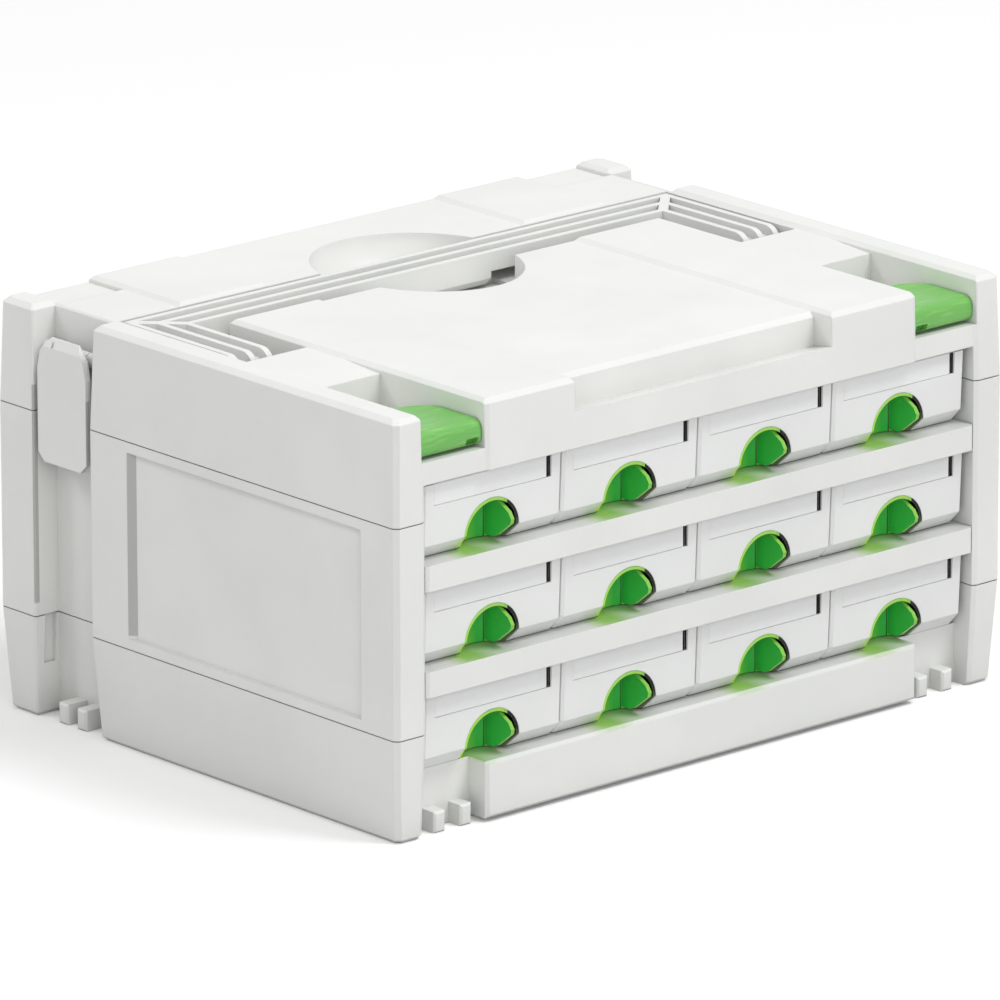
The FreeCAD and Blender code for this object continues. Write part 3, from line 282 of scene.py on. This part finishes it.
def shell_plastic():
    """The pale shell, with painted shade on the ledges and the panel slopes, and painted green bounce
    light on each ledge under a grip.
    """
    n = Surface("shell_plastic")
    base = drifting(n, srgb(240, 240, 237), srgb(235, 236, 233))
    across, y, height = n.drawer_place()
    ledge = n.product(n.span(height, -ROW_FOOT, LEDGE_TOP, 0.1 * MM),
                      n.rise(n.parts(n.flat_normal())["Z"], 0.5, 0.9))
    # Painted green bounce light on the ledge under each grip.
    green = n.calc("MAXIMUM", bounce_patch(n, across, y, **GREEN_BOUNCE_CORE), bounce_patch(n, across, y, **GREEN_BOUNCE_SKIRT))
    # Painted shade on each ledge under a row of drawers.
    base = n.mix(n.product(ledge, LEDGE_SHADE), base, srgb(210, 212, 208))
    # Painted shade on the slope at the rear end of each side's inset panel.
    base = n.mix(panel_end_shade(n), base, srgb(186, 187, 182))
    base = n.mix(n.product(ledge, green), base, srgb(140, 192, 62))
    return plastic(n, base, worn_and_highlight=srgb(253, 253, 252), seam=srgb(84, 85, 82), nook=srgb(176, 177, 173),
                   grain=0.45 * MM, grain_height=0.025 * MM, rough=0.46, edge_radius=0.8 * MM)


# The slit beside a label, painted black as shade, and the bed that the label lies in, where the painted
# seam shade is light.
SLIT_LEFT = LABEL_RIGHT + 0.1 * MM
SLIT_RIGHT = LABEL_RIGHT + 3.4 * MM
SLIT_FRONT_Y = LABEL_BACK_Y - 0.1 * MM
SLIT_BOTTOM = LABEL_BOTTOM - 1 * MM
BED_LEFT = -LABEL_RIGHT - 5 * MM
BED_BACK_Y = LABEL_BACK_Y + 0.1 * MM
BED_BOTTOM = LABEL_BOTTOM - 0.6 * MM
BED_TOP = LABEL_BOTTOM + 12 * MM
BED_BLEND = 0.2 * MM


def drawer_plastic():
    """The drawers' pale plastic, with painted black shade inside the slit beside each label."""
    n = Surface("drawer_plastic")
    base = drifting(n, srgb(242, 243, 242), srgb(238, 239, 238))
    across, y, height = n.drawer_place()
    slit_shade = n.product(n.span(across, SLIT_LEFT, SLIT_RIGHT, 0.1 * MM),
                        n.rise(height, SLIT_BOTTOM, SLIT_BOTTOM + 0.5 * MM),
                        n.rise(y, SLIT_FRONT_Y, SLIT_FRONT_Y + 0.3 * MM))
    in_bed = n.product(n.fall(y, BED_BACK_Y, BED_BACK_Y + BED_BLEND),
                       n.span(height, BED_BOTTOM, BED_TOP, BED_BLEND),
                       n.span(across, BED_LEFT, LABEL_RIGHT, BED_BLEND))
    # Painted black shade in the slit, and a lighter painted seam shade in the label's bed.
    return plastic(n, n.mix(slit_shade, base, srgb(6, 6, 6)), worn_and_highlight=srgb(253, 253, 253),
                   seam=n.mix(in_bed, srgb(84, 85, 82), srgb(206, 207, 206)),
                   grain=0.45 * MM, grain_height=0.02 * MM, rough=0.42, edge_radius=0.5 * MM)


def lock_green():
    """Satin green with pale stripes of painted sheen along its length."""
    n = Surface("lock_green_plastic")
    base = drifting(n, srgb(118, 190, 90), srgb(110, 184, 88))
    painted_sheen_stripe = n.ramp(n.noise(2.2 * MM, 3.0, 0.6, stretch=(9, 1.6, 1)), 0.0, 0.6, 0.5, 0.72)
    # Pale stripes of painted sheen over the lock's green.
    return plastic(n, n.mix(painted_sheen_stripe, base, srgb(156, 212, 118)), worn_and_highlight=srgb(180, 226, 150),
                   seam=srgb(0, 112, 58),
                   grain=0.5 * MM, grain_height=0.012 * MM, rough=0.34, edge_radius=0.8 * MM)


# A grip's niche and the fin in it.
NICHE_LEFT = -16 * MM
NICHE_DEEP = 3 * MM  # where the lining's painted shade is at its deepest green
NICHE_TOP = 22 * MM
RIM_DEPTH = 2.4 * MM
FIN_LEFT = 6.9 * MM
FIN_RIGHT = 9.1 * MM
FIN_BLEND = 0.15 * MM
FIN_ROOT_Y = GRIP_BACK_Y - 9 * MM
# Where the painted shade line at the fin's root lies.
ROOT_LINE_LEFT = FIN_LEFT - 0.8 * MM
ROOT_LINE_BLEND = 0.4 * MM
ROOT_LINE_TOP = (12 * MM, 18 * MM)
SHADE_HEIGHT = (3 * MM, 11 * MM)
PAINTED_GLOW_STRENGTH = 0.22
GRIP_GLOSS = 0.25


def grip_green():
    """Clear bright green with painted light and shade: painted highlights along the rims and the fin's
    front edge, painted shade behind the fin and at its root, and a faint emission standing in for light
    through the plastic.
    """
    n = Surface("grip_green_plastic")
    across, y, height = n.drawer_place()
    normal = n.parts(n.flat_normal())

    # Painted light and shade on the lining: pale at the left rim, deeper green to the right and higher
    # up.
    lining = n.mix(n.rise(across, NICHE_LEFT, NICHE_DEEP), srgb(196, 232, 74), srgb(60, 184, 74))
    lining = n.mix(n.ramp(height, 0.0, 0.75, 0.0, NICHE_TOP), lining, srgb(52, 168, 74))
    # Painted shade on the fin: darker higher up and towards its root.
    fin = n.mix(n.rise(height, 0.0, NICHE_TOP), srgb(58, 190, 82), srgb(60, 172, 72))
    fin = n.mix(n.ramp(y, 0.0, 0.7, FIN_ROOT_Y, GRIP_BACK_Y), fin, srgb(30, 140, 60))
    # Painted shade behind the fin: grey-green at the foot, near black higher up.
    behind = n.mix(n.rise(height, *SHADE_HEIGHT), srgb(104, 122, 92), srgb(2, 8, 3))

    root_shade = n.product(n.rise(across, ROOT_LINE_LEFT, ROOT_LINE_LEFT + ROOT_LINE_BLEND),
                        n.ramp(height, 1.0, 0.3, *ROOT_LINE_TOP))
    # Painted highlight on the rim that faces the front.
    rim_highlight = n.product(n.fall(normal["Y"], -0.8, -0.4),
                       n.fall(y, DRAWER_FACE_Y + RIM_DEPTH, DRAWER_FACE_Y + 2 * RIM_DEPTH))
    on_fin = n.rise(across, FIN_LEFT - FIN_BLEND, FIN_LEFT)
    # Painted highlight on the fin's narrow front edge.
    fin_edge_highlight = n.fall(n.calc("ABSOLUTE", normal["X"]), 0.5, 0.7)
    behind_fin = n.rise(across, FIN_RIGHT - FIN_BLEND, FIN_RIGHT)

    # Painted shade line at the fin's root.
    base = n.mix(root_shade, lining, srgb(8, 66, 26))
    base = n.mix(rim_highlight, base, srgb(160, 208, 92))
    base = n.mix(on_fin, base, n.mix(fin_edge_highlight, fin, srgb(136, 198, 82)))
    base = n.mix(behind_fin, base, behind)
    # Painted light: a faint emission standing in for light through the clear plastic, none behind the
    # fin.
    painted_glow = n.product(n.ramp(across, 1.0, 0.3, NICHE_LEFT, FIN_RIGHT - FIN_BLEND),
                     n.calc("SUBTRACT", 1.0, behind_fin))
    return plastic(n, base, worn_and_highlight=srgb(206, 236, 160), seam=srgb(10, 74, 30),
                   grain=0.5 * MM, grain_height=0.01 * MM, rough=0.3, edge_radius=0.25 * MM,
                   Emission_Color=n.mix(painted_glow, srgb(0, 0, 0), base), Emission_Strength=PAINTED_GLOW_STRENGTH,
                   Specular_IOR_Level=GRIP_GLOSS)


# Card and steel


def card():
    """Matt label card, with the short fibres of paper."""
    n = Surface("label_card")
    fibre = n.noise(0.35 * MM, 4.0, 0.7, stretch=(4, 1, 1))
    base = n.mix(n.rise(fibre, 0.4, 0.7), srgb(246, 247, 247), srgb(242, 242, 242))
    # Painted shade in the seams round the card.
    base = n.painted_shade(base, srgb(170, 170, 168), 0.5, **SEAM_SHADE)
    return n.finish(Base_Color=base, Roughness=0.62, Normal=n.bump(fibre, 0.012 * MM, 0.5), IOR=1.45)


def steel():
    """Zinc-plated steel with a fine uneven grain."""
    n = Surface("plated_steel")
    tone = n.mix(n.noise(4 * MM, 3.0), srgb(196, 197, 200), srgb(176, 178, 182))
    roughness = n.ramp(n.noise(1.5 * MM, 4.0), 0.22, 0.4)
    normal = n.bump(n.noise(0.3 * MM, 2.0), 0.01 * MM, 0.4)
    return n.finish(Base_Color=tone, Roughness=roughness, Normal=normal, Metallic=1.0)


MATERIALS = {
    "shell": shell_plastic(),
    "drawer": drawer_plastic(),
    "grip_green": grip_green(),
    "lock_green": lock_green(),
    "label": card(),
    "steel": steel(),
}

for entry in frame["record"]["subparts"]:
    thing = NODES[entry["node"]]
    thing.data.materials.clear()
    thing.data.materials.append(MATERIALS[entry["material_slot"]])


# Floor, light and camera

WHITE = (1.0, 1.0, 1.0, 1.0)
FLOOR_TONE = (0.62, 0.62, 0.62, 1.0)  # what the floor reflects onto the case
FLOOR_SIZE = 40.0
FLOOR_LIFT = 0.1
AMBIENT = 0.5
LAMP_TARGET = (0, 0, 0.1)
LAMPS = (
    # name, place, size, power
    ("key", (1.15, -2.0, 4.1), 1.6, 92),
    ("front_fill", (-1.8, -3.0, 1.5), 1.8, 25),
    ("back_left", (-2.5, 2.25, 3.1), 1.0, 30),
)

# Fitted to corners of the case in the photo.
CAMERA_PLACE = Vector((-3.6417, -4.1070, 1.7508))
CAMERA_AZIMUTH = math.radians(41.5534)
CAMERA_DIP = math.radians(16.7425)
CAMERA_ROLL = math.radians(-0.0757)
CAMERA_LENS = 420.27
CAMERA_SENSOR = 36.0
CAMERA_REACH = 60.0


def make_floor():
    """A floor that looks white and takes a soft shadow, but throws back less light than white."""
    bpy.ops.mesh.primitive_plane_add(size=FLOOR_SIZE, location=(0, 0, 0))
    floor = bpy.context.object
    floor.name = "floor"
    n = Surface("floor_paint")
    direct = n.seen_directly()
    n.finish(Base_Color=n.mix(direct, FLOOR_TONE, WHITE), Roughness=0.9, Specular_IOR_Level=0.0,
             Emission_Color=WHITE, Emission_Strength=n.product(direct, FLOOR_LIFT))
    floor.data.materials.append(n.material)


def make_world():
    """White to look at, and dimmer as a light."""
    world = bpy.data.worlds.new("studio")
    bpy.context.scene.world = world
    world.use_nodes = True
    world.node_tree.nodes.clear()
    n = Tree(world.node_tree)
    light = n.add("ShaderNodeBackground", {
        "Color": WHITE, "Strength": n.ramp(n.seen_directly(), AMBIENT, 1.0),
    })
    n.add("ShaderNodeOutputWorld", {"Surface": light.outputs["Background"]})


def make_lamp(name, place, size, power):
    lamp = bpy.data.lights.new(name, "AREA")
    lamp.shape = "RECTANGLE"
    lamp.size = lamp.size_y = size
    lamp.energy = power
    thing = bpy.data.objects.new(name, lamp)
    bpy.context.scene.collection.objects.link(thing)
    aim = Vector(LAMP_TARGET) - Vector(place)
    thing.matrix_world = Matrix.Translation(place) @ aim.to_track_quat("-Z", "Y").to_matrix().to_4x4()


def make_camera():
    forward = Vector((math.sin(CAMERA_AZIMUTH) * math.cos(CAMERA_DIP),
                      math.cos(CAMERA_AZIMUTH) * math.cos(CAMERA_DIP), -math.sin(CAMERA_DIP)))
    level_right = forward.cross(Vector((0, 0, 1))).normalized()
    level_up = level_right.cross(forward)
    right = math.cos(CAMERA_ROLL) * level_right + math.sin(CAMERA_ROLL) * level_up
    up = math.cos(CAMERA_ROLL) * level_up - math.sin(CAMERA_ROLL) * level_right
    camera = bpy.data.cameras.new("photo_camera")
    camera.sensor_width = CAMERA_SENSOR
    camera.lens = CAMERA_LENS
    camera.clip_end = CAMERA_REACH
    thing = bpy.data.objects.new("photo_camera", camera)
    bpy.context.scene.collection.objects.link(thing)
    turn = Matrix((right, up, -forward)).transposed().to_4x4()
    thing.matrix_world = Matrix.Translation(CAMERA_PLACE) @ turn
    bpy.context.scene.camera = thing


make_floor()
make_world()
for lamp_settings in LAMPS:
    make_lamp(*lamp_settings)
make_camera()
bpy.context.scene.view_settings.view_transform = "Standard"
